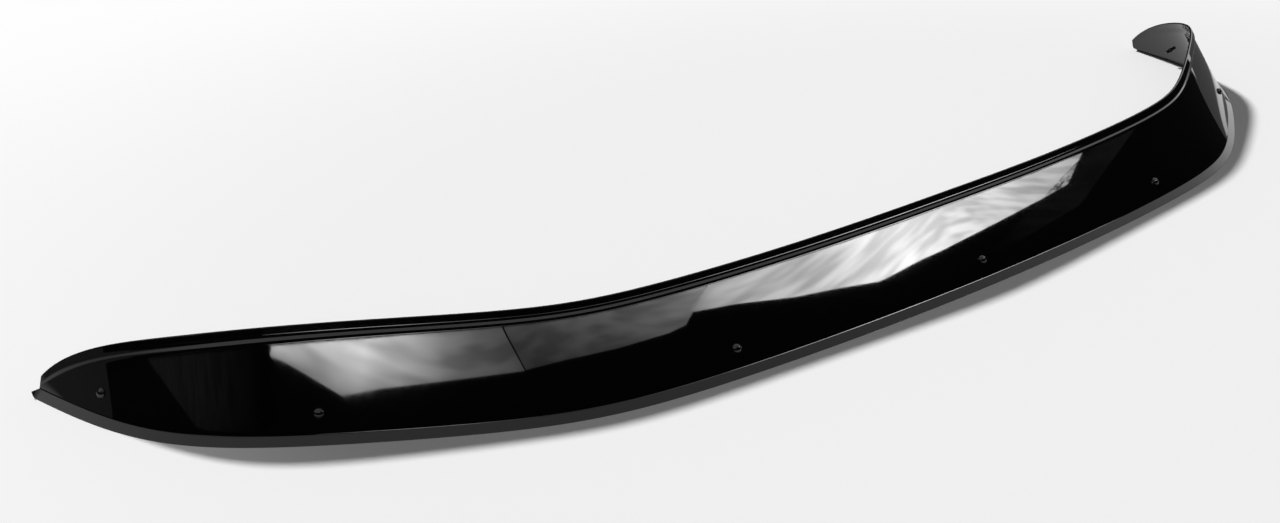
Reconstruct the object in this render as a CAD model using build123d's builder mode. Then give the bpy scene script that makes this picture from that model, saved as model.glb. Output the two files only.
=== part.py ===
from build123d import *
import os
from math import cos, radians, sin, tanh

os.makedirs("parts", exist_ok=True)

# Hood bug deflector: one long strip of 3 mm glossy black acrylic, bent hot into a bow
# that follows the front edge of a car bonnet, with a row of push-in domed studs.
# X runs across the car, +Y to the rear, +Z up. The bottom edge is trimmed flat at z = 0.
# Every cross-section is the same fold: flange, face, riser, lip. Only its sizes change
# along the strip. A place along the strip is s, from -1 at one tip over 0 to +1.

# The strip and its plan curve
SHEET = 3.0                # thickness of the acrylic
HALF_LENGTH = 910.0        # centre to tip, along the fold line
CROWN = 15.9               # degrees of gentle curve, spread evenly over the half
SHOULDER_TURN = 22.4       # degrees turned at the shoulder
SHOULDER_AT = 0.490        # where the shoulder sits, as a share of the half length
SHOULDER_SPREAD = 0.083    # how softly the shoulder turns
CORNER_TURN = 42.5         # degrees turned at the corner, before the tip
CORNER_AT = 0.845
CORNER_SPREAD = 0.077

# Flange: the narrow brim under the fold line, flatter than the face
FLANGE = 9.1               # width of the flange
FLANGE_LEAN = 56.0         # degrees from upright

# Face: the broad sloping panel, which runs out to a point at the tips
FACE = 77.6                # slant width over the middle
FACE_TIP = 2.3             # slant width left at the tip
FACE_HOLDS = 0.07          # share of the half length before it starts to narrow
FACE_POWER = 8.5           # how late the narrowing comes
FACE_LEAN = 41.2           # degrees from upright at the centre
FACE_LEAN_MID = 60.1       # pull of the lean half way
FACE_LEAN_TIP = 16.8       # degrees from upright at the tip
LEAN_EASE = 0.08           # eases the lean over the centre, as a share of the half length

# Riser and lip: the small step and the rim band above the face
RISER = 3.9
RISER_GROWS = 1.5          # what the riser gains towards the tip
RISER_LEAN = 6.8           # degrees from upright
RISER_LEFT = 0.4           # what is left of it at the cut end
LIP = 8.0                  # width of the rim band, which leans as the face does

# Edges
RIM_SOFT = 1.1             # set-back of the rounded rim
TRIM = 3.0                 # what the bent sheet has below z = 0 before it is trimmed flat
TIP_ROUND = 5.0            # rounded lower corner of each cut end

# Push-in studs
STUD_PITCH = 300.0         # from the centre stud to the next, along the fold
STUD_STEP = 185.0          # between the last two studs of each end
STUD_FROM_TIP = 72.0       # from the tip back to the last stud
STUD_UP = 16.4             # height of the row, measured up the face from the fold
HEAD_D = 8.4
HEAD_H = 3.0
HEAD_RIM = 0.5             # straight rim under the dome
SHANK_D = 4.0
HOLE_CLEAR = 0.6           # hole diameter over the shank
SNAP_D = 5.6               # snap collar behind the sheet
SNAP_H = 2.4
SEAT_GAP = 0.12            # play of head and collar against the sheet
STEM = 4.0                 # plain pin behind the collar

STATIONS = 18              # cross-sections on each side of the centre
STATION_CROWD = 1.45       # draws the sections together towards the tips
STEPS = 600                # steps of the walk along the plan curve


def heading(s):
    """Plan direction of the strip, in radians, odd in s."""
    shoulder = tanh((s - SHOULDER_AT) / SHOULDER_SPREAD) + tanh((s + SHOULDER_AT) / SHOULDER_SPREAD)
    corner = tanh((s - CORNER_AT) / CORNER_SPREAD) + tanh((s + CORNER_AT) / CORNER_SPREAD)
    return radians(CROWN * s + SHOULDER_TURN / 2 * shoulder + CORNER_TURN / 2 * corner)


def fold_walk(s):
    """Plan place of the fold line from its own centre: the heading is followed in small steps."""
    x = 0.0
    y = 0.0
    n = max(1, round(STEPS * abs(s)))
    for i in range(n):
        a = heading(s * (i + 0.5) / n)
        x += cos(a) * s * HALF_LENGTH / n
        y += sin(a) * s * HALF_LENGTH / n
    return x, y


def face_width(s):
    u = min(1.0, max(0.0, (abs(s) - FACE_HOLDS) / (1 - FACE_HOLDS)))
    return FACE_TIP + (FACE - FACE_TIP) * (1 - u**FACE_POWER)


def face_lean(s):
    a = (s * s + LEAN_EASE**2) ** 0.5
    return radians((1 - a) ** 2 * FACE_LEAN + 2 * a * (1 - a) * FACE_LEAN_MID + a * a * FACE_LEAN_TIP)


def riser_height(s):
    full = RISER + RISER_GROWS * s**4
    return full - (full - RISER_LEFT) * abs(s) ** 60


def outer_line(s):
    """Outer corners of the section, as (inward, up): foot, fold, riser foot, riser top, rim."""
    flange_lean = radians(FLANGE_LEAN)
    flange = FLANGE + TRIM / cos(flange_lean)
    p = Vector(-flange * sin(flange_lean), -TRIM)
    points = [p]
    for length, lean in (
        (flange, flange_lean),
        (face_width(s), face_lean(s)),
        (riser_height(s), radians(RISER_LEAN)),
        (LIP, face_lean(s)),
    ):
        p = p + Vector(sin(lean), cos(lean)) * length
        points.append(p)
    return points


def inner_line(points):
    """The same corners one sheet thickness further in, mitred. The foot stays level."""
    dirs = [(b - a).normalized() for a, b in zip(points, points[1:])]
    normals = [Vector(d.Y, -d.X) for d in dirs]
    foot = points[0] + normals[0] * SHEET
    inner = [foot - dirs[0] * ((foot.Y + TRIM) / dirs[0].Y)]
    for p, n, m in zip(points[1:], normals, normals[1:]):
        inner.append(p + (n + m) * (SHEET / (1 + n.dot(m))))
    inner.append(points[-1] + normals[-1] * SHEET)
    return inner


def section(s):
    """Closed outline of the section at s with the set-back of each of its corners."""
    outer = outer_line(s)
    inner = inner_line(outer)
    outer_soft = [0, 0, 0, 0, RIM_SOFT]
    inner_soft = [RIM_SOFT, 0, 0, 0, 0]
    return outer + inner[::-1], outer_soft + inner_soft


def fold_xy(s):
    """Plan place of the fold line, with the origin half way between its front and its tips."""
    front = -FLANGE * sin(radians(FLANGE_LEAN))
    rear = fold_walk(1)[1] + cos(heading(1)) * max(p.X for p in section(1)[0])
    x, y = fold_walk(s)
    return x, y - (front + rear) / 2


def section_plane(s):
    x, y = fold_xy(s)
    a = heading(s)
    return Plane(origin=(x, y, 0), x_dir=(-sin(a), cos(a), 0), z_dir=(cos(a), sin(a), 0))


def face_plane(s):
    """Plane on the outer face at the row of studs: Z outward, X along the strip."""
    h = 0.002
    spots = []
    for t in (s - h, s + h, s):
        plane = section_plane(t)
        fold, riser_foot = outer_line(t)[1:3]
        up = (riser_foot - fold).normalized()
        spots.append(plane.from_local_coords(fold + up * STUD_UP))
    up = plane.from_local_coords(up) - plane.origin
    along = (spots[1] - spots[0]).normalized()
    return Plane(origin=spots[2], x_dir=along, z_dir=along.cross(up))


stud_last = HALF_LENGTH - STUD_FROM_TIP
stud_second = stud_last - STUD_STEP
STUD_ROW = (-stud_last, -stud_second, -STUD_PITCH, 0, STUD_PITCH, stud_second, stud_last)

# The shield is lofted through the sections, closer together where the strip turns and narrows
with BuildPart() as shield:
    for i in range(-STATIONS, STATIONS + 1):
        share = 1 - (1 - abs(i) / STATIONS) ** STATION_CROWD
        s = share if i > 0 else -share
        corners, soft = section(s)
        with BuildSketch(section_plane(s)):
            with BuildLine():
                starts = []
                ends = []
                for k, p in enumerate(corners):
                    before = (corners[k - 1] - p).normalized()
                    after = (corners[(k + 1) % len(corners)] - p).normalized()
                    starts.append(p + before * soft[k])
                    ends.append(p + after * soft[k])
                for k, p in enumerate(corners):
                    if soft[k] > 0:
                        Bezier(starts[k], p, ends[k])
                    Line(ends[k], starts[(k + 1) % len(corners)])
            make_face()
    loft()

    # The bent strip is trimmed flat at its foot, so that it stands on a level edge
    split(bisect_by=Plane.XY, keep=Keep.TOP)

    # A round hole for each stud, square to the face
    for along in STUD_ROW:
        with Locations(face_plane(along / HALF_LENGTH)):
            Cylinder((SHANK_D + HOLE_CLEAR) / 2, 6 * SHEET, mode=Mode.SUBTRACT)

    # The lower corner of each cut end is rounded off
    for side in (-1, 1):
        end = section_plane(side)
        along = end.z_dir * side
        with BuildSketch(Plane(origin=end.origin, x_dir=along, z_dir=along.cross(Vector(0, 0, 1)))):
            with BuildLine():
                Polyline((-TIP_ROUND, 0), (-TIP_ROUND, -1), (1, -1), (1, TIP_ROUND), (0, TIP_ROUND))
                RadiusArc((0, TIP_ROUND), (-TIP_ROUND, 0), TIP_ROUND)
            make_face()
        extrude(amount=6 * SHEET, both=True, mode=Mode.SUBTRACT)

shield.part.label = "shield"
export_step(shield.part, "parts/shield.step")
print("shield", shield.part.bounding_box(), shield.part.volume, shield.part.is_valid)

# The studs: a domed head, a shank through the hole, a snap collar that holds it behind the
# sheet and a plain pin. Each is turned from half its outline, with the sheet's face at y = 0.
head_foot = SEAT_GAP
head_rim = head_foot + HEAD_RIM
head_top = head_foot + HEAD_H
collar_top = -SHEET - SEAT_GAP
collar_foot = collar_top - SNAP_H
pin_end = collar_foot - STEM
dome = HEAD_H - HEAD_RIM
dome_radius = ((HEAD_D / 2) ** 2 + dome**2) / (2 * dome)
with BuildPart() as dome_studs:
    for along in STUD_ROW:
        seat = face_plane(along / HALF_LENGTH)
        with BuildSketch(Plane(origin=seat.origin, x_dir=seat.x_dir, z_dir=-seat.y_dir)):
            with BuildLine():
                Polyline(
                    (0, head_top),
                    (0, pin_end),
                    (SHANK_D / 2, pin_end),
                    (SHANK_D / 2, collar_foot),
                    (SNAP_D / 2, collar_top),
                    (SHANK_D / 2, collar_top),
                    (SHANK_D / 2, head_foot),
                    (HEAD_D / 2, head_foot),
                    (HEAD_D / 2, head_rim),
                )
                RadiusArc((HEAD_D / 2, head_rim), (0, head_top), -dome_radius)
            make_face()
        revolve(axis=Axis(seat.origin, seat.z_dir))

dome_studs.part.label = "dome_studs"
export_step(dome_studs.part, "parts/dome_studs.step")
print("dome_studs", len(dome_studs.part.solids()), dome_studs.part.bounding_box())
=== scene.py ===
# %% [markdown]
# # A hood bug deflector
# The real object is one long strip of glossy black acrylic, bent hot into a bow that follows
# the front edge of a car bonnet. A row of small domed studs sits in its sloping face.
# This notebook loads the measured CAD part first. Every piece is then built over it, in
# metres and in the same frame, so nothing has to be fitted by eye.

# %% Load the CAD part
import bmesh
import bpy
import numpy as np
from math import cos, radians, sin
from mathutils import Matrix, Vector
from mathutils.bvhtree import BVHTree


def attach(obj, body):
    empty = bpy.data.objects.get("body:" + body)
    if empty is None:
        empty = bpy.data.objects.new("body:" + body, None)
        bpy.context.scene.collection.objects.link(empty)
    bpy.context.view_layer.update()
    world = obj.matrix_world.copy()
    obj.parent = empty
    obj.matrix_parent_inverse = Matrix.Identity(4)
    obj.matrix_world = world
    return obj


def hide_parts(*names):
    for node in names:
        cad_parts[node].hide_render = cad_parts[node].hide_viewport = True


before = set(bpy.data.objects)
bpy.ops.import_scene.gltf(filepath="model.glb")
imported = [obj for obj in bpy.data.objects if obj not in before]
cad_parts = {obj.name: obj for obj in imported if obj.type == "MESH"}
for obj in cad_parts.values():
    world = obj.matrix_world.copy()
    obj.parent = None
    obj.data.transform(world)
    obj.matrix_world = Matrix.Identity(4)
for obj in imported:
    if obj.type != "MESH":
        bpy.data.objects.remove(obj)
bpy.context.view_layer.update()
scene = bpy.context.scene

# %% [markdown]
# ## The camera
# The photograph was taken from the left front, a little above the object and quite close:
# the far end looks much smaller than the near one. A long lens from far away would flatten
# that, so the camera stands where the perspective says, about 1.5 m from the point it aims at.

# %% Camera
CAMERA_AZIMUTH = radians(41.13)     # round to the left of straight ahead
CAMERA_HEIGHT = radians(22.95)      # above the horizon
CAMERA_DISTANCE = 1.491
AIM = Vector((-0.2904, -0.0185, 0.05))
LENS = 48.555                       # mm
SENSOR = 36                         # mm, the width of the sensor

towards_camera = Vector((
    -sin(CAMERA_AZIMUTH) * cos(CAMERA_HEIGHT),
    -cos(CAMERA_AZIMUTH) * cos(CAMERA_HEIGHT),
    sin(CAMERA_HEIGHT),
))
right = Vector((cos(CAMERA_AZIMUTH), -sin(CAMERA_AZIMUTH), 0))
camera_data = bpy.data.cameras.new("camera")
camera_data.lens = LENS
camera_data.sensor_width = SENSOR
camera = bpy.data.objects.new("camera", camera_data)
turn = Matrix((right, towards_camera.cross(right), towards_camera)).transposed()
camera.matrix_world = Matrix.Translation(AIM + towards_camera * CAMERA_DISTANCE) @ turn.to_4x4()
scene.collection.objects.link(camera)
scene.camera = camera
print("camera at", tuple(round(v, 3) for v in camera.matrix_world.translation))

# %% [markdown]
# ## Sums with nodes
# The strip's shape follows a rule, so Geometry Nodes can work it out at every point. Written
# as single nodes, the formulas would be hard to read. A small class fixes that: it stands for
# one number in the node tree, and each plus, times or sine adds the node that does it.

# %% A number in a node tree
class Number:
    """One value that the tree works out at every point of the mesh."""

    def __init__(self, tree, socket):
        self.tree = tree
        self.socket = socket

    def do(self, operation, *others):
        node = self.tree.nodes.new("ShaderNodeMath")
        node.operation = operation
        for place, value in enumerate((self, *others)):
            feed(self.tree, value, node.inputs[place])
        return Number(self.tree, node.outputs[0])

    def __add__(self, other):
        return self.do("ADD", other)

    def __radd__(self, other):
        return self.do("ADD", other)

    def __sub__(self, other):
        return self.do("SUBTRACT", other)

    def __rsub__(self, other):
        return (self * -1).do("ADD", other)

    def __mul__(self, other):
        return self.do("MULTIPLY", other)

    def __rmul__(self, other):
        return self.do("MULTIPLY", other)

    def __truediv__(self, other):
        return self.do("DIVIDE", other)

    def __pow__(self, other):
        return self.do("POWER", other)


def feed(tree, value, socket):
    """Puts a plain number or another Number into a node's socket."""
    if isinstance(value, Number):
        tree.links.new(value.socket, socket)
    else:
        socket.default_value = value


print("number class ready")

# %% [markdown]
# ## The tree and its named sizes
# Each size of the real strip is an input with a name, so that someone can change it in the
# modifier panel. A new input gets its value before the object is first worked out.

# %% Sizes of the strip, in metres and degrees
STRIP = {
    "sheet": 0.003, "half length": 0.910,
    "crown": 15.9, "shoulder turn": 22.4, "shoulder at": 0.490, "shoulder spread": 0.083,
    "corner turn": 42.5, "corner at": 0.845, "corner spread": 0.077,
    "flange": 0.0091, "flange lean": 56.0,
    "face": 0.0776, "face tip": 0.0023, "face holds": 0.07, "face power": 8.5,
    "lean": 41.2, "lean mid": 60.1, "lean tip": 16.8, "lean ease": 0.08,
    "riser": 0.0039, "riser grows": 0.0015, "riser lean": 6.8, "riser left": 0.0004,
    "lip": 0.008,
    "foot soft": 0.0003, "fold soft": 0.0007, "riser soft": 0.3, "rim soft": 0.0011,
    "tip round": 0.005, "depth centre": 0.173907,
}
STATIONS = 801                      # cross-sections from tip to tip
CROWD = 0.25                        # draws the sections together towards the tips
tree = bpy.data.node_groups.new("strip_by_rule", "GeometryNodeTree")
tree.interface.new_socket("Geometry", in_out="INPUT", socket_type="NodeSocketGeometry")
tree.interface.new_socket("Geometry", in_out="OUTPUT", socket_type="NodeSocketGeometry")
for name in STRIP:
    tree.interface.new_socket(name, in_out="INPUT", socket_type="NodeSocketFloat")
group_in = tree.nodes.new("NodeGroupInput")
group_out = tree.nodes.new("NodeGroupOutput")
size = {name: Number(tree, group_in.outputs[name]) for name in STRIP}
print("named sizes:", len(STRIP))

# %% [markdown]
# ## A grid to bend
# A flat grid is the raw material: one line of points for every cross-section, and seven
# points for each of the section's ten corners. Two of the seven hold the flat beside the
# corner, and five go round it, so that glossy black shows clean folds and flat faces.

# %% The grid, and where each of its points belongs
CORNERS = 10
ROUND = 7                           # points that each corner gets
RING = CORNERS * ROUND + 1          # the last point of a ring meets the first
grid = tree.nodes.new("GeometryNodeMeshGrid")
grid.inputs["Size X"].default_value = 2
grid.inputs["Size Y"].default_value = 1
grid.inputs["Vertices X"].default_value = STATIONS
grid.inputs["Vertices Y"].default_value = RING
index = Number(tree, tree.nodes.new("GeometryNodeInputIndex").outputs[0])
station = (index / RING + 0.5 / RING).do("FLOOR")
place = index - station * RING
raw = station * (2 / (STATIONS - 1)) - 1
s = raw * (1 + CROWD - CROWD * raw * raw)           # place along the strip, from -1 to 1
stretch = 1 + CROWD - 3 * CROWD * raw * raw         # how fast s grows there
a = s.do("ABSOLUTE")
print("points in the grid:", STATIONS * RING)

# %% [markdown]
# ## The bow in plan
# Seen from above the strip is nearly straight in front, turns at each shoulder and turns
# again at each corner. Each turn is a tanh step in the heading. Walking along the strip adds
# up the small steps, which is just what the Accumulate Field node does.

# %% Heading and plan position
RAD = radians(1)


def turned(total, at, spread):
    step = ((s - at) / spread).do("TANH") + ((s + at) / spread).do("TANH")
    return total * 0.5 * step


heading = (size["crown"] * s
           + turned(size["shoulder turn"], size["shoulder at"], size["shoulder spread"])
           + turned(size["corner turn"], size["corner at"], size["corner spread"])) * RAD


def walked(step):
    """Adds up step from section to section, counted from the centre section."""
    total = tree.nodes.new("GeometryNodeAccumulateField")
    feed(tree, step, total.inputs["Value"])
    feed(tree, place, total.inputs[1])
    here = Number(tree, total.outputs["Trailing"]) + step * 0.5
    centre = tree.nodes.new("GeometryNodeFieldAtIndex")
    feed(tree, here, centre.inputs["Value"])
    centre.inputs["Index"].default_value = (STATIONS // 2) * RING
    return here - Number(tree, centre.outputs[0])


stride = size["half length"] * stretch * (2 / (STATIONS - 1))
plan_x = walked(heading.do("COSINE") * stride)
plan_y = walked(heading.do("SINE") * stride) - size["depth centre"]
print("plan curve ready")

# %% [markdown]
# ## The section and how it changes
# Every section is the same fold: a narrow flange, the broad face, a small riser and the lip.
# The face runs out to almost nothing at the tips, and it leans less and less on the way. The
# other three keep their widths, as strips bent in one long press would.

# %% Lengths and leans of the four strips
RISER_LATE = 60                     # the riser holds its height almost to the cut end
LEAST_SHARE = 0.0001                # keeps the power below away from zero
flange_lean = size["flange lean"] * RAD
late = ((a - size["face holds"]) / (1 - size["face holds"])).do("MAXIMUM", LEAST_SHARE)
face = size["face tip"] + (size["face"] - size["face tip"]) * (1 - late ** size["face power"])
eased = (s * s + size["lean ease"] ** 2).do("SQRT")
lean = ((1 - eased) ** 2 * size["lean"] + 2 * eased * (1 - eased) * size["lean mid"]
        + eased * eased * size["lean tip"]) * RAD
full = size["riser"] + size["riser grows"] * a ** 4
riser = full - (full - size["riser left"]) * a ** RISER_LATE
riser_lean = size["riser lean"] * RAD
strips = [(size["flange"], flange_lean), (face, lean), (riser, riser_lean), (size["lip"], lean)]
print("strips in the section:", len(strips))

# %% [markdown]
# ## Ten corners
# Going up the outside gives five corners. The inside has the same five, one sheet thickness
# further in, where each is mitred between its two neighbours. The foot is trimmed level.

# %% Outer and inner corners, as (inward, up)
outer = [(size["flange"] * flange_lean.do("SINE") * -1, size["flange"] * 0)]
for length, angle in strips:
    across, up = outer[-1]
    outer.append((across + length * angle.do("SINE"), up + length * angle.do("COSINE")))

sheet = size["sheet"]
normals = [(angle.do("COSINE"), angle.do("SINE") * -1) for _, angle in strips]
foot_drop = normals[0][1] * sheet / flange_lean.do("COSINE")
foot_in = outer[0][0] + normals[0][0] * sheet - flange_lean.do("SINE") * foot_drop
inner = [(foot_in, size["flange"] * 0)]
for k in range(3):
    (ax, az), (bx, bz) = normals[k], normals[k + 1]
    reach = sheet / (1 + ax * bx + az * bz)
    inner.append((outer[k + 1][0] + (ax + bx) * reach, outer[k + 1][1] + (az + bz) * reach))
inner.append((outer[4][0] + normals[3][0] * sheet, outer[4][1] + normals[3][1] * sheet))
corners = outer + inner[::-1]
riser_soft = size["riser soft"] * riser
softness = [size["foot soft"], size["fold soft"], riser_soft, riser_soft, size["rim soft"]]
softness = softness + softness[::-1]
print("corners:", len(corners))

# %% [markdown]
# ## Round every corner
# The Index Switch node picks the corner that a point belongs to, and its two neighbours. The
# five middle points then follow a Bezier bend from one flat to the next.

# %% Pick a corner and walk round it
HOLD = 0.35                         # how far past the bend the holding points stand
SHORTEST = 0.00001                  # metres, so that no length is divided by zero


def pick(values, which):
    switch = tree.nodes.new("GeometryNodeIndexSwitch")
    switch.data_type = "FLOAT"
    while len(switch.index_switch_items) < len(values):
        switch.index_switch_items.new()
    feed(tree, which, switch.inputs["Index"])
    for k, value in enumerate(values):
        feed(tree, value, switch.inputs[k + 1])
    return Number(tree, switch.outputs[0])


corner = (place / ROUND + 0.5 / ROUND).do("FLOOR")
turn_step = place - corner * ROUND
corner = corner.do("MODULO", CORNERS)
before = (corner + (CORNERS - 1)).do("MODULO", CORNERS)
after = (corner + 1).do("MODULO", CORNERS)
xs = [c[0] for c in corners]
zs = [c[1] for c in corners]
cx, cz = pick(xs, corner), pick(zs, corner)
soft = pick(softness, corner)
t = ((turn_step - 1) / (ROUND - 3)).do("MAXIMUM", 0).do("MINIMUM", 1)


def towards(x, z):
    """A unit step from the corner towards a neighbour."""
    dx, dz = x - cx, z - cz
    far = (dx * dx + dz * dz).do("SQRT").do("MAXIMUM", SHORTEST)
    return dx / far, dz / far


bx, bz = towards(pick(xs, before), pick(zs, before))
ax, az = towards(pick(xs, after), pick(zs, after))
back = soft * ((1 - t) ** 2 + (turn_step * -1 + 1).do("MAXIMUM", 0) * HOLD)
ahead = soft * (t ** 2 + (turn_step - (ROUND - 2)).do("MAXIMUM", 0) * HOLD)
inward = cx + bx * back + ax * ahead
up = cz + bz * back + az * ahead
print("bend points per corner:", ROUND - 2)

# %% [markdown]
# ## Place the points
# The section stands square to the plan curve. At the very end, the lower corner of the strip
# is rounded, so no point there may lie below a quarter circle.

# %% Set the positions and finish the tree
WELD = 0.000002                     # metres; points closer than this become one
from_tip = (1 - a) * size["half length"]
into_round = (size["tip round"] - from_tip).do("MAXIMUM", 0).do("MINIMUM", size["tip round"])
lowest = size["tip round"] - (size["tip round"] ** 2 - into_round ** 2).do("MAXIMUM", 0).do("SQRT")
up = up.do("MAXIMUM", lowest)
where = tree.nodes.new("ShaderNodeCombineXYZ")
feed(tree, plan_x - heading.do("SINE") * inward, where.inputs["X"])
feed(tree, plan_y + heading.do("COSINE") * inward, where.inputs["Y"])
feed(tree, up, where.inputs["Z"])
place_points = tree.nodes.new("GeometryNodeSetPosition")
tree.links.new(grid.outputs["Mesh"], place_points.inputs["Geometry"])
tree.links.new(where.outputs[0], place_points.inputs["Position"])
weld = tree.nodes.new("GeometryNodeMergeByDistance")
weld.inputs["Distance"].default_value = WELD
realize = tree.nodes.new("GeometryNodeRealizeInstances")
coat = tree.nodes.new("GeometryNodeSetMaterial")
tree.links.new(place_points.outputs[0], weld.inputs[0])
tree.links.new(weld.outputs[0], realize.inputs[0])
tree.links.new(realize.outputs[0], coat.inputs[0])
tree.links.new(coat.outputs[0], group_out.inputs[0])
print("nodes in the tree:", len(tree.nodes))

# %% [markdown]
# ## Polished black acrylic
# Cast acrylic is black all through, and its surface is as smooth as glass: what one sees is
# almost only reflection. It isn't quite flat, though. Heating and bending leave long soft
# waves, which make the edges of a reflected lamp wander, and handling leaves fine haze. So
# the colour stays near black, and two noises of very different size move the normal and
# the roughness by a little.

# %% Materials for the strip and the studs
ACRYLIC_IOR = 1.49
HAZE_GRAIN = 160                    # scale of the fine noise
HAZE_RANGE = (0.5, 1.6)             # least and most roughness, as shares of the haze
DARKER = 0.6                        # share of its colour that the darkest spot keeps


def gloss_black(name, shade, waves, wave_size, haze):
    material = bpy.data.materials.new(name)
    material.use_nodes = True
    nodes, links = material.node_tree.nodes, material.node_tree.links
    shader = nodes["Principled BSDF"]
    shader.inputs["IOR"].default_value = ACRYLIC_IOR
    place = nodes.new("ShaderNodeTexCoord")
    slow = nodes.new("ShaderNodeTexNoise")
    slow.inputs["Scale"].default_value = wave_size
    slow.inputs["Detail"].default_value = 1.5
    fine = nodes.new("ShaderNodeTexNoise")
    fine.inputs["Scale"].default_value = HAZE_GRAIN
    fine.inputs["Detail"].default_value = 5
    for texture in (slow, fine):
        links.new(place.outputs["Object"], texture.inputs["Vector"])
    bump = nodes.new("ShaderNodeBump")
    bump.inputs["Strength"].default_value = 1
    bump.inputs["Distance"].default_value = waves
    links.new(slow.outputs["Fac"], bump.inputs["Height"])
    links.new(bump.outputs["Normal"], shader.inputs["Normal"])
    rough = nodes.new("ShaderNodeMapRange")
    rough.inputs["To Min"].default_value = haze * HAZE_RANGE[0]
    rough.inputs["To Max"].default_value = haze * HAZE_RANGE[1]
    links.new(fine.outputs["Fac"], rough.inputs["Value"])
    links.new(rough.outputs["Result"], shader.inputs["Roughness"])
    tint = nodes.new("ShaderNodeMix")
    tint.data_type = "RGBA"
    tint.inputs["A"].default_value = (*[v * DARKER for v in shade], 1)
    tint.inputs["B"].default_value = (*shade, 1)
    links.new(fine.outputs["Fac"], tint.inputs["Factor"])
    links.new(tint.outputs["Result"], shader.inputs["Base Color"])
    return material


acrylic = gloss_black("gloss_black_acrylic", (0.0022, 0.0022, 0.0024), 0.00002, 9, 0.02)
stud_plastic = gloss_black("gloss_black_stud", (0.006, 0.006, 0.0065), 0.00001, 90, 0.04)
coat.inputs["Material"].default_value = acrylic
print("materials:", acrylic.name, stud_plastic.name)

# %% [markdown]
# ## Make the strip
# The tree becomes a plain mesh here, because the pieces must not depend on live nodes later.
# The two cut ends are still open, so each rim of points is closed with a flat face. The broad
# face is twisted, as its lean changes along the strip, and one long facet from fold to riser
# would mirror the room as if it weren't. So its long edges are cut into short ones.

# %% From tree to mesh
LONG_EDGE = 0.012                   # metres; longer edges are cut
CUTS = 8                            # cuts in each long edge


def plain_mesh(name, node_tree, sizes):
    """Runs a node tree with its named sizes once and keeps the result as a plain mesh."""
    carrier = bpy.data.objects.new(name + "_rule", bpy.data.meshes.new(name + "_rule"))
    scene.collection.objects.link(carrier)
    modifier = carrier.modifiers.new("rule", "NODES")
    modifier.node_group = node_tree
    for item in node_tree.interface.items_tree:
        if item.in_out == "INPUT" and item.name in sizes:
            modifier[item.identifier] = sizes[item.name]
    ready = carrier.evaluated_get(bpy.context.evaluated_depsgraph_get())
    mesh = bpy.data.meshes.new_from_object(ready)
    bpy.data.objects.remove(carrier)
    mesh.name = name
    return mesh


def close_ends(mesh):
    work = bmesh.new()
    work.from_mesh(mesh)
    long_edges = [e for e in work.edges if e.calc_length() > LONG_EDGE]
    bmesh.ops.subdivide_edges(work, edges=long_edges, cuts=CUTS)
    rims = [e for e in work.edges if e.is_boundary]
    filled = bmesh.ops.holes_fill(work, edges=rims)
    bmesh.ops.recalc_face_normals(work, faces=work.faces)
    if work.calc_volume(signed=True) < 0:
        bmesh.ops.reverse_faces(work, faces=work.faces)
    for f in work.faces:
        f.smooth = True
    for f in filled["faces"]:
        f.smooth = False
        for e in f.edges:
            e.smooth = False
    volume = work.calc_volume()
    open_edges = sum(e.is_boundary for e in work.edges)
    work.to_mesh(mesh)
    work.free()
    return volume, open_edges


shield_mesh = plain_mesh("acrylic_shield", tree, STRIP)
volume, open_edges = close_ends(shield_mesh)
shield = bpy.data.objects.new("acrylic_shield", shield_mesh)
scene.collection.objects.link(shield)
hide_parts("shield")
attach(shield, "root")
corners_of = np.array([v.co for v in shield_mesh.vertices])
print("strip volume cm3", round(volume * 1e6, 2), "open edges", open_edges)
print("box", corners_of.min(0).round(4), corners_of.max(0).round(4), "faces", len(shield_mesh.polygons))

# %% [markdown]
# ## The studs
# Seven alike studs call for instances. Where they stand is already in the CAD part, so the
# points are read from it: a stud is a long thin solid, its longest direction is its axis,
# and the fat end is the head.

# %% Read the seats of the studs
HEAD_WIDTH = 0.0084
HEAD_HEIGHT = 0.003
STUD_GAP = 0.00012
APART = 0.03                        # neighbouring studs are further apart than this in x
PIN_END = 0.0005                    # the slice of points that marks the end of the pin
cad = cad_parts["dome_studs"].data
points = np.array([v.co for v in cad.vertices])
order = points[points[:, 0].argsort()]
groups = np.split(order, np.where(np.diff(order[:, 0]) > APART)[0] + 1)
seats = []
for group in groups:
    unique = np.unique(group.round(7), axis=0)
    middle = unique.mean(0)
    axis = np.linalg.svd(unique - middle)[2][0]
    along = (unique - middle) @ axis
    wide = np.linalg.norm(unique - middle - np.outer(along, axis), axis=1)
    if along[wide.argmax()] < 0:
        axis, along = -axis, -along
    line = unique[along < along.min() + PIN_END].mean(0)
    seats.append((line + axis * (np.ptp(along) - HEAD_HEIGHT - STUD_GAP), axis))
print("studs:", len(seats), "middle seat:", seats[len(seats) // 2])

# %% [markdown]
# One stud is turned on a lathe: half of its outline, spun round its axis. Only the dome shows
# in front, with a short straight rim that leaves a thin dark line round its foot.

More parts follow.
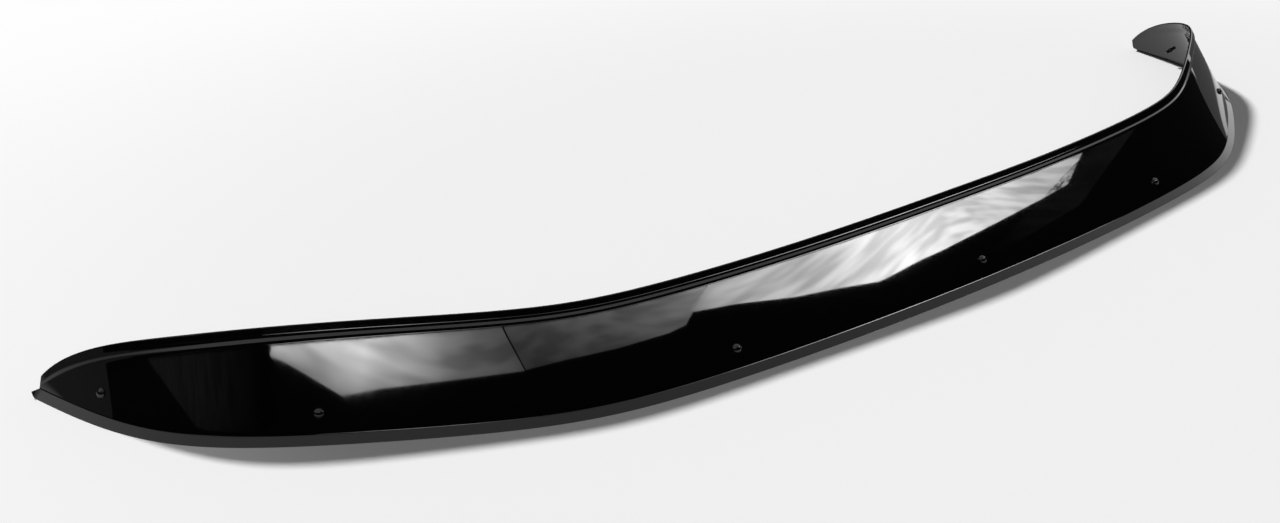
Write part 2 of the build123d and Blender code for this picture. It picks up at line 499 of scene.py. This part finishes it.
# %% One stud
HEAD_RIM = 0.0005                   # straight rim under the dome
SHANK = 0.002                       # radius of shank and pin
COLLAR = 0.0028                     # radius of the snap collar
COLLAR_HEIGHT = 0.0024
PIN = 0.004                         # length of the plain pin
PIN_SOFT = 0.0003                   # soft edge of the pin's end
HEAD_SOFT = 0.0002                  # soft edge of the head's foot
DOME_STEPS = 14
SIDES = 48
CREASE = radians(35)                # edges sharper than this stay sharp
dome_height = HEAD_HEIGHT - HEAD_RIM
half = HEAD_WIDTH / 2
sphere = (half ** 2 + dome_height ** 2) / (2 * dome_height)
sheet_back = -STRIP["sheet"] - 2 * STUD_GAP
collar_foot = sheet_back - COLLAR_HEIGHT
pin_end = collar_foot - PIN
outline = [(0.0, pin_end), (SHANK - PIN_SOFT, pin_end), (SHANK, pin_end + PIN_SOFT), (SHANK, collar_foot),
           (COLLAR, sheet_back), (SHANK, sheet_back), (SHANK, 0.0),
           (half - HEAD_SOFT, 0.0), (half, HEAD_SOFT), (half, HEAD_RIM)]
widest = np.arcsin(half / sphere)
for k in range(1, DOME_STEPS + 1):
    angle = widest * (1 - k / DOME_STEPS)
    outline.append((sphere * sin(angle), HEAD_HEIGHT - sphere + sphere * cos(angle)))

lathe = bmesh.new()
steps_round = [radians(360 * k / SIDES) for k in range(SIDES)]
rings = []
for r, z in outline:
    if r < 1e-7:
        rings.append([lathe.verts.new((0, 0, z))])
    else:
        rings.append([lathe.verts.new((r * cos(angle), r * sin(angle), z)) for angle in steps_round])
for low, high in zip(rings, rings[1:]):
    for k in range(SIDES):
        n = (k + 1) % SIDES
        if len(low) == 1:
            lathe.faces.new((low[0], high[n], high[k]))
        elif len(high) == 1:
            lathe.faces.new((low[k], low[n], high[0]))
        else:
            lathe.faces.new((low[k], low[n], high[n], high[k]))
bmesh.ops.recalc_face_normals(lathe, faces=lathe.faces)
for f in lathe.faces:
    f.smooth = True
for e in lathe.edges:
    e.smooth = e.calc_face_angle(0) < CREASE
stud_mesh = bpy.data.meshes.new("stud")
stud_mesh.materials.append(stud_plastic)
lathe.to_mesh(stud_mesh)
lathe.free()
stud = bpy.data.objects.new("stud", stud_mesh)
scene.collection.objects.link(stud)
print("stud faces:", len(stud_mesh.polygons))

# %% [markdown]
# Each seat becomes a point that carries its direction. Instance on Points puts a stud on
# every point, and Align Rotation to Vector stands it square to the face.

# %% Put a stud on every seat
row = bpy.data.meshes.new("stud_row")
row.from_pydata([tuple(p) for p, _ in seats], [], [])
facing = row.attributes.new("facing", "FLOAT_VECTOR", "POINT")
for k, (_, axis) in enumerate(seats):
    facing.data[k].vector = tuple(axis)
row_tree = bpy.data.node_groups.new("studs_on_seats", "GeometryNodeTree")
row_tree.interface.new_socket("Geometry", in_out="INPUT", socket_type="NodeSocketGeometry")
row_tree.interface.new_socket("stud", in_out="INPUT", socket_type="NodeSocketObject")
row_tree.interface.new_socket("stud scale", in_out="INPUT", socket_type="NodeSocketFloat")
row_tree.interface.new_socket("Geometry", in_out="OUTPUT", socket_type="NodeSocketGeometry")
n = row_tree.nodes
row_in, row_out = n.new("NodeGroupInput"), n.new("NodeGroupOutput")
attribute = n.new("GeometryNodeInputNamedAttribute")
attribute.data_type = "FLOAT_VECTOR"
attribute.inputs["Name"].default_value = "facing"
stand = n.new("FunctionNodeAlignRotationToVector")
stand.axis = "Z"
info = n.new("GeometryNodeObjectInfo")
put = n.new("GeometryNodeInstanceOnPoints")
solid = n.new("GeometryNodeRealizeInstances")
paint = n.new("GeometryNodeSetMaterial")
paint.inputs["Material"].default_value = stud_plastic
wire = row_tree.links.new
wire(row_in.outputs["stud"], info.inputs["Object"])
wire(row_in.outputs["Geometry"], put.inputs["Points"])
wire(info.outputs["Geometry"], put.inputs["Instance"])
wire(row_in.outputs["stud scale"], put.inputs["Scale"])
wire(attribute.outputs["Attribute"], stand.inputs["Vector"])
wire(stand.outputs["Rotation"], put.inputs["Rotation"])
wire(put.outputs["Instances"], solid.inputs[0])
wire(solid.outputs[0], paint.inputs[0])
wire(paint.outputs[0], row_out.inputs[0])

carrier = bpy.data.objects.new("stud_row", row)
scene.collection.objects.link(carrier)
modifier = carrier.modifiers.new("studs", "NODES")
modifier.node_group = row_tree
for item in row_tree.interface.items_tree:
    if item.name == "stud" and item.in_out == "INPUT":
        modifier[item.identifier] = stud
    if item.name == "stud scale":
        modifier[item.identifier] = 1.0
ready = carrier.evaluated_get(bpy.context.evaluated_depsgraph_get())
studs_mesh = bpy.data.meshes.new_from_object(ready)
bpy.data.objects.remove(carrier)
bpy.data.objects.remove(stud)
studs = bpy.data.objects.new("push_in_studs", studs_mesh)
scene.collection.objects.link(studs)
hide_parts("dome_studs")
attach(studs, "root")
print("stud row faces:", len(studs_mesh.polygons), "materials:", list(studs_mesh.materials))

# %% [markdown]
# ## Short ways to wire a shader
# The floor, the lamps and the world all mix and fade things. A few small functions say that
# in one line each.

# %% Shader helpers
def clear_tree(owner):
    """Empties the node tree of a material or a world and returns its nodes and links."""
    owner.use_nodes = True
    owner.node_tree.nodes.clear()
    return owner.node_tree.nodes, owner.node_tree.links


def combined(nodes, links, operation, first, second):
    """Two values put together by a sum."""
    node = nodes.new("ShaderNodeMath")
    node.operation = operation
    links.new(first, node.inputs[0])
    links.new(second, node.inputs[1])
    return node.outputs[0]


def fade(nodes, links, value, start, end):
    """Rises softly from 0 where the value is start to 1 where it is end."""
    node = nodes.new("ShaderNodeMapRange")
    node.interpolation_type = "SMOOTHSTEP"
    node.inputs["From Min"].default_value = start
    node.inputs["From Max"].default_value = end
    links.new(value, node.inputs["Value"])
    return node.outputs["Result"]


def blend(nodes, links, share, first, second):
    """The first shader where share is 0, the second where it is 1."""
    node = nodes.new("ShaderNodeMixShader")
    links.new(share, node.inputs["Fac"])
    links.new(first, node.inputs[1])
    links.new(second, node.inputs[2])
    return node.outputs[0]


def grey(value):
    return (value, value, value, 1)


print("shader helpers ready")

# %% [markdown]
# ## The floor
# The object lies on a pale sweep. The floor is a real surface, so that it catches the
# object's shadow and shows in the riser, which stands almost upright and mirrors it. Past the
# right corner and the left tip the floor is painted dark grey for glossy rays only, a painted
# dark reflection. Far from the object the camera sees plain white paper, which sends out no other light.

# %% Floor
FLOOR_SIZE = 30                     # metres from the middle to each side
FLOOR_COLOUR = 0.93
PAINTED_DARK_IN_GLOSS = 0.12              # painted dark reflection: the floor's tone for glossy rays past the right corner and the left tip
PAINTED_DARK_RIGHT = (0.76, 0.84)            # metres in x, where that fade begins and is complete
PAINTED_DARK_LEFT = (0.95, 1.15)             # the same for y minus x, past the left tip
PAPER_CENTRE = (0.15, -0.35, 0)
PAPER_FADE = (0.75, 1.7)            # metres from that centre
PAPER_WHITE = 0.985
floor_mesh = bpy.data.meshes.new("floor")
floor_mesh.from_pydata([(-FLOOR_SIZE, -FLOOR_SIZE, 0), (FLOOR_SIZE, -FLOOR_SIZE, 0),
                        (FLOOR_SIZE, FLOOR_SIZE, 0), (-FLOOR_SIZE, FLOOR_SIZE, 0)], [], [(0, 1, 2, 3)])
floor = bpy.data.objects.new("floor", floor_mesh)
scene.collection.objects.link(floor)
floor_white = bpy.data.materials.new("floor_white")
nodes, links = clear_tree(floor_white)
surface = nodes.new("ShaderNodeOutputMaterial")
matte = nodes.new("ShaderNodeBsdfDiffuse")
matte.inputs["Color"].default_value = grey(FLOOR_COLOUR)
# painted dark reflection: a dark grey floor that only glossy rays see
dark = nodes.new("ShaderNodeBsdfDiffuse")
dark.inputs["Color"].default_value = grey(PAINTED_DARK_IN_GLOSS)
paper = nodes.new("ShaderNodeEmission")
paper.inputs["Strength"].default_value = PAPER_WHITE
ray = nodes.new("ShaderNodeLightPath")
spot = nodes.new("ShaderNodeTexCoord")
apart = nodes.new("ShaderNodeSeparateXYZ")
links.new(spot.outputs["Object"], apart.inputs["Vector"])
leftward = combined(nodes, links, "SUBTRACT", apart.outputs["Y"], apart.outputs["X"])
past_right = fade(nodes, links, apart.outputs["X"], *PAINTED_DARK_RIGHT)
past_left = fade(nodes, links, leftward, *PAINTED_DARK_LEFT)
past_either = combined(nodes, links, "MAXIMUM", past_right, past_left)
# mask of the painted dark reflection, for glossy rays past the right corner and past the left tip
in_gloss = combined(nodes, links, "MULTIPLY", past_either, ray.outputs["Is Glossy Ray"])
reach = nodes.new("ShaderNodeVectorMath")
reach.operation = "DISTANCE"
reach.inputs[1].default_value = PAPER_CENTRE
links.new(spot.outputs["Object"], reach.inputs[0])
far = fade(nodes, links, reach.outputs["Value"], *PAPER_FADE)
seen = combined(nodes, links, "MULTIPLY", far, ray.outputs["Is Camera Ray"])
table = blend(nodes, links, in_gloss, matte.outputs[0], dark.outputs[0])
links.new(blend(nodes, links, seen, table, paper.outputs[0]), surface.inputs["Surface"])
floor_mesh.materials.append(floor_white)
print("floor colour", FLOOR_COLOUR)

# %% [markdown]
# ## What the gloss sees
# A black mirror shows the room. To light a given place of the face, a lamp must hang where
# that place mirrors. The surface itself answers that question: a ray goes from the camera
# through a point of the picture, hits the acrylic, bounces off and is followed up to the
# height where the lamps hang. So each lamp can be given by the corners of its highlight in
# the picture, and the strip's bends do to it what they do in the real room.

# %% From a place in the picture to a place overhead
PICTURE = (1280, 523)               # the picture's size, in pixels
PANE_HEIGHT = 0.6                   # low panes give crisp highlights
FLATTEST_BOUNCE = 0.05              # a bounce flatter than this never reaches a pane
CLIMB = 0.25                        # pixels in each step up to the riser
BEND_STARTS = radians(0.5)          # turn of the surface in one step that tells of the riser
FACE_MIDDLE = (600, 340)
skin = bmesh.new()
skin.from_mesh(shield_mesh)
skin.normal_update()
bmesh.ops.triangulate(skin, faces=skin.faces)
skin.faces.ensure_lookup_table()
tree_of_skin = BVHTree.FromBMesh(skin)
eye = camera.matrix_world.translation


def smooth_normal(face, point):
    """Normal at a point of a face, blended from its three corners."""
    a, b, c = [v.co for v in face.verts]
    whole = (b - a).cross(c - a).length
    wa = (b - point).cross(c - point).length / whole
    wb = (c - point).cross(a - point).length / whole
    na, nb, nc = [v.normal for v in face.verts]
    return (na * wa + nb * wb + nc * (1 - wa - wb)).normalized()


def bounce_at(px, py):
    """For the picture's point (px, py): the place it shows on the acrylic, the normal, the bounce."""
    focal = LENS / SENSOR * PICTURE[0]
    in_camera = Vector(((px - PICTURE[0] / 2) / focal, (PICTURE[1] / 2 - py) / focal, -1))
    sight = (turn @ in_camera).normalized()
    hit, _, number, _ = tree_of_skin.ray_cast(eye, sight)
    if hit is None:
        raise ValueError("no acrylic at %s, %s" % (px, py))
    normal = smooth_normal(skin.faces[number], hit)
    return hit, normal, sight - normal * (2 * sight.dot(normal))


def seen_in_gloss(px, py):
    """The place at the panes' height that the picture's point (px, py) mirrors."""
    hit, _, bounce = bounce_at(px, py)
    if bounce.z < FLATTEST_BOUNCE:
        raise ValueError("nothing overhead at %s, %s" % (px, py))
    return hit + bounce * ((PANE_HEIGHT - hit.z) / bounce.z)


def top_of_face(px, py):
    """Climbs the picture from (px, py) on the face until the surface bends into the riser."""
    facing = bounce_at(px, py)[1]
    while True:
        ahead = bounce_at(px, py - CLIMB)[1]
        if ahead.angle(facing) > BEND_STARTS:
            return py
        facing = ahead
        py -= CLIMB


print("the middle of the face sees", tuple(round(v, 3) for v in seen_in_gloss(*FACE_MIDDLE)))

# %% [markdown]
# ## Lamps that show in the gloss
# A lamp is a pane between a line of the picture and the riser above it, cut into small
# pieces, and every corner finds its place overhead on its own. Its glow is an attribute of the
# corners, so that one pane can be bright at one end and dim at the other. A studio lamp shines
# through cloth, whose soft folds show as streaks, so a stretched noise dims the panes by a
# little. The panes only show in reflections, because their light on the floor would be uneven.

# %% Glow in cloth and without
FOLDS = 0.38                        # share of its light that the cloth's darkest folds take
FOLD_SCALE = (9, 60, 1)             # the folds are long one way and narrow the other
FOLD_TURN = radians(-8)
FOLD_RANGE = (0.35, 0.62)           # values of the noise that count as darkest and clear


def glow_material(name, folds):
    """Shines as the mesh's glow attribute says, less up to the share folds in the cloth's folds."""
    material = bpy.data.materials.new(name)
    nodes, links = clear_tree(material)
    out = nodes.new("ShaderNodeOutputMaterial")
    emit = nodes.new("ShaderNodeEmission")
    glow = nodes.new("ShaderNodeAttribute")
    glow.attribute_name = "glow"
    place = nodes.new("ShaderNodeTexCoord")
    stretch = nodes.new("ShaderNodeMapping")
    stretch.inputs["Scale"].default_value = FOLD_SCALE
    stretch.inputs["Rotation"].default_value = (0, 0, FOLD_TURN)
    cloth = nodes.new("ShaderNodeTexNoise")
    cloth.inputs["Scale"].default_value = 1
    cloth.inputs["Detail"].default_value = 1
    shade = nodes.new("ShaderNodeMapRange")
    shade.inputs["From Min"].default_value = FOLD_RANGE[0]
    shade.inputs["From Max"].default_value = FOLD_RANGE[1]
    shade.inputs["To Min"].default_value = 1 - folds
    shade.inputs["To Max"].default_value = 1
    links.new(place.outputs["Object"], stretch.inputs["Vector"])
    links.new(stretch.outputs["Vector"], cloth.inputs["Vector"])
    links.new(cloth.outputs["Fac"], shade.inputs["Value"])
    strength = combined(nodes, links, "MULTIPLY", shade.outputs["Result"], glow.outputs["Fac"])
    links.new(strength, emit.inputs["Strength"])
    links.new(emit.outputs[0], out.inputs["Surface"])
    return material


def reflected_only(name, verts, faces, strengths, material):
    """A glowing mesh that shows in reflections and nowhere else."""
    mesh = bpy.data.meshes.new(name)
    mesh.from_pydata(verts, [], faces)
    mesh.attributes.new("glow", "FLOAT", "POINT").data.foreach_set("value", strengths)
    mesh.materials.append(material)
    lamp = bpy.data.objects.new(name, mesh)
    scene.collection.objects.link(lamp)
    lamp.visible_camera = False
    lamp.visible_diffuse = False
    lamp.visible_shadow = False


cloth_glow = glow_material("cloth_glow", FOLDS)
plain_glow = glow_material("plain_glow", 0.0)
print("lamp materials:", cloth_glow.name, plain_glow.name)

# %% [markdown]
# A pane has four lines, and each line is a few named places in the picture, from left to
# right. The lower edge has (column, row). The upper edge has (column, pixels under the riser).
# The glow along each edge has (column, strength).

# %% A pane between a line of the picture and the riser
PANE_COLUMNS = 60
PANE_ROWS = 8


def along_line(line, share):
    """The place at a share of a line's length in x, with everything that its points carry."""
    line = np.array(line, float)
    x = line[0, 0] + (line[-1, 0] - line[0, 0]) * share
    return [np.interp(x, line[:, 0], line[:, k]) for k in range(line.shape[1])]


def light_pane(name, **lines):
    """Hangs one pane where the face mirrors the part of the picture between its two edges."""
    lower, upper, glow_lower, glow_upper = [
        list(lines[key].values()) for key in ("lower", "upper", "glow_lower", "glow_upper")]
    verts, strengths, faces = [], [], []
    for i in range(PANE_COLUMNS + 1):
        share = i / PANE_COLUMNS
        low, (top_x, under) = along_line(lower, share), along_line(upper, share)
        high = (top_x, top_of_face(top_x, np.interp(top_x, *np.array(lower).T)) + under)
        for j in range(PANE_ROWS + 1):
            up = j / PANE_ROWS
            px, py = [a + (b - a) * up for a, b in zip(low, high)]
            verts.append(seen_in_gloss(px, py))
            a = np.interp(px, *np.array(glow_lower).T)
            b = np.interp(px, *np.array(glow_upper).T)
            strengths.append(a + (b - a) * up)
    step = PANE_ROWS + 1
    for i in range(PANE_COLUMNS):
        for j in range(PANE_ROWS):
            k = i * step + j
            faces.append((k, k + step, k + step + 1, k + 1))
    reflected_only(name, verts, faces, strengths, cloth_glow)
    spread = np.array(verts)
    print(name, "from", spread.min(0).round(2), "to", spread.max(0).round(2))


print("pieces in a pane:", PANE_COLUMNS * PANE_ROWS)

# %% [markdown]
# The highlight is one broken ribbon under the riser: a soft bright patch on the left, a dim
# stretch over the middle, and a long bright patch on the right, that begins with a slanting
# edge and ends raggedly before the far corner. Their strengths were set one by one, until the
# render was about as bright as the photograph along the ribbon.

# %% The bright ribbon
UNDER_RISER = 0.5                   # pixels of dark that stay between ribbon and riser
light_pane(
    "left_patch",
    lower={"start": (270, 357), "bend": (284, 362), "corner": (342, 396), "past the corner": (380, 389),
           "half way": (436, 382), "end": (525, 371)},
    upper={"start": (270, UNDER_RISER), "end": (501, UNDER_RISER)},
    glow_lower={"start": (270, 6.0), "corner": (342, 4.5), "rise": (363, 7.0), "peak": (400, 8.5),
                "fall": (444, 4.2), "end": (525, 1.1)},
    glow_upper={"start": (270, 12.0), "rise": (340, 16.0), "peak": (363, 21.0), "fall": (400, 12.0),
                "dim": (444, 5.0), "faint": (476, 2.3), "end": (501, 1.7)})
light_pane(
    "middle_patch",
    lower={"start": (526, 370), "bend": (565, 360), "half way": (619, 348), "slope": (669, 333),
           "end": (686, 325)},
    upper={"start": (503, UNDER_RISER), "end": (707, UNDER_RISER)},
    glow_lower={"start": (526, 0.7), "half way": (620, 1.1), "end": (686, 2.2)},
    glow_upper={"start": (503, 1.3), "half way": (600, 2.1), "rise": (660, 3.2), "end": (707, 6.0)})
light_pane(
    "right_patch",
    lower={"start": (688, 313), "slant": (736, 304), "level": (795, 297), "dip": (840, 288),
           "corner": (881, 281), "past the corner": (917, 262), "slope": (943, 250),
           "long side": (1000, 221), "narrow": (1047, 196), "end": (1068, 184)},
    upper={"start": (708, UNDER_RISER), "end": (1082, UNDER_RISER)},
    glow_lower={"start": (688, 3.5), "slant": (715, 8.0), "level": (740, 10.5), "half way": (811, 12.5),
                "rise": (860, 17.0), "peak": (917, 21.0), "fall": (985, 13.5), "dim": (1030, 9.0),
                "end": (1068, 5.5)},
    glow_upper={"start": (688, 5.0), "slant": (715, 10.0), "level": (740, 11.5), "half way": (811, 14.0),
                "rise": (860, 21.0), "peak": (900, 26.0), "past the peak": (950, 18.0),
                "fall": (985, 12.5), "dim": (1030, 9.0), "end": (1082, 6.0)})
light_pane(
    "left_glimmer",
    lower={"start": (196, 427), "bend": (207, 431), "low side": (261, 433), "end": (276, 419)},
    upper={"start": (147, 1.0), "end": (266, 1.0)},
    glow_lower={"start": (147, 0.13), "half way": (200, 0.10), "end": (265, 0.0)},
    glow_upper={"start": (147, 0.15), "half way": (200, 0.13), "end": (266, 0.0)})
light_pane(
    "right_glimmer",
    lower={"start": (985, 258), "half way": (1040, 229), "end": (1080, 205)},
    upper={"start": (1088, UNDER_RISER), "end": (1135, UNDER_RISER)},
    glow_lower={"start": (985, 0.0), "half way": (1030, 0.05), "end": (1080, 0.06)},
    glow_upper={"start": (1088, 0.06), "end": (1135, 0.07)})

# %% [markdown]
# The narrow flange leans more than the face, so it looks straight up and back, where the room
# has a plain pale ceiling. That gives the even grey band along the foot. Towards the right
# corner the same band looks at the far wall, so the ceiling comes down to the floor there. It
# starts behind the ribbon, because the face and the lip must stay dark. A low strip of wall
# far to the left gives the left tip its faint glimmer.

# %% The pale ceiling and the far walls
SURFACE_STEPS = 6                   # pieces from front to rear


def pale_surface(name, lines):
    """Strips between neighbouring lines, each with (front point, rear point, front glow, rear glow)."""
    verts, glows, faces = [], [], []
    for front, rear, glow_front, glow_rear in lines:
        for k in range(SURFACE_STEPS + 1):
            share = k / SURFACE_STEPS
            verts.append(Vector(front).lerp(Vector(rear), share))
            glows.append(glow_front + (glow_rear - glow_front) * share)
    for i in range(len(lines) - 1):
        for k in range(SURFACE_STEPS):
            j = i * (SURFACE_STEPS + 1) + k
            faces.append((j, j + 1, j + SURFACE_STEPS + 2, j + SURFACE_STEPS + 1))
    reflected_only(name, verts, faces, glows, plain_glow)


CEILING = 2.0                       # metres above the floor
CEILING_LEFT = -3.5
CEILING_STRAIGHT = 2.0              # metres to the right, up to where its edges run straight
CEILING_BEND = 4.5                  # from here to the wall they turn further to the rear
CEILING_REAR = 3.0
FAR_WALL = 6.0                      # metres to the right
WALL_REAR = 4.0
WALL_UPPER, WALL_LOWER = 1.06, 0.52
pale_surface("pale_ceiling", [
    ((CEILING_LEFT, -0.95, CEILING), (CEILING_LEFT, CEILING_REAR, CEILING), 0.55, 1.0),
    ((CEILING_STRAIGHT, -0.95, CEILING), (CEILING_STRAIGHT, CEILING_REAR, CEILING), 0.5, 1.0),
    ((CEILING_BEND, -0.68, CEILING), (CEILING_BEND, 3.4, CEILING), 0.7, 1.0),
    ((FAR_WALL, -0.42, CEILING), (FAR_WALL, WALL_REAR, CEILING), 0.9, 1.0),
    ((FAR_WALL, 0.52, WALL_UPPER), (FAR_WALL, WALL_REAR, WALL_UPPER), 1.0, 1.0),
    ((FAR_WALL, 0.95, WALL_LOWER), (FAR_WALL, WALL_REAR, WALL_LOWER), 1.0, 1.0),
    ((FAR_WALL, 1.10, 0.0), (FAR_WALL, WALL_REAR, 0.0), 1.0, 1.0)])
LEFT_WALL_TOP = 0.45
LEFT_WALL_GLOW = 0.12
pale_surface("left_wall", [
    ((-4.0, 0.6, height), (-2.4, 3.0, height), LEFT_WALL_GLOW, LEFT_WALL_GLOW)
    for height in (0.0, LEFT_WALL_TOP)])
print("ceiling and walls placed")

# %% [markdown]
# ## Light on the floor
# The world lights the floor evenly, but stays dark in the gloss. The shadow comes from one
# lamp far behind the object, so far that its light arrives as a sun's does: the same over the
# whole floor. It reaches over the rim and leaves a narrow dark band in front of the flange.

# %% World and key lamp
DAY = 0.16                          # on matte surfaces
ROOM = 0.01                         # in the gloss
BACKDROP = 0.95                     # what the camera sees past the floor
KEY = 3.95
KEY_SIZE = radians(5)
KEY_HEIGHT = radians(38)
KEY_SIDE = radians(3)               # to the right of straight behind


def background(strength):
    node = nodes.new("ShaderNodeBackground")
    node.inputs["Color"].default_value = grey(1)
    node.inputs["Strength"].default_value = strength
    return node.outputs[0]


world = bpy.data.worlds.new("studio")
scene.world = world
nodes, links = clear_tree(world)
sky_out = nodes.new("ShaderNodeOutputWorld")
path = nodes.new("ShaderNodeLightPath")
unseen = blend(nodes, links, path.outputs["Is Glossy Ray"], background(DAY), background(ROOM))
sky = blend(nodes, links, path.outputs["Is Camera Ray"], unseen, background(BACKDROP))
links.new(sky, sky_out.inputs["Surface"])

key_data = bpy.data.lights.new("key", "SUN")
key_data.energy = KEY
key_data.angle = KEY_SIZE
key = bpy.data.objects.new("key", key_data)
from_key = Vector((
    sin(KEY_SIDE) * cos(KEY_HEIGHT),
    cos(KEY_SIDE) * cos(KEY_HEIGHT),
    sin(KEY_HEIGHT),
))
key.rotation_euler = from_key.to_track_quat("Z", "Y").to_euler()
key.visible_glossy = False
scene.collection.objects.link(key)

scene.view_settings.view_transform = "Standard"
print("world", DAY, "key", KEY)
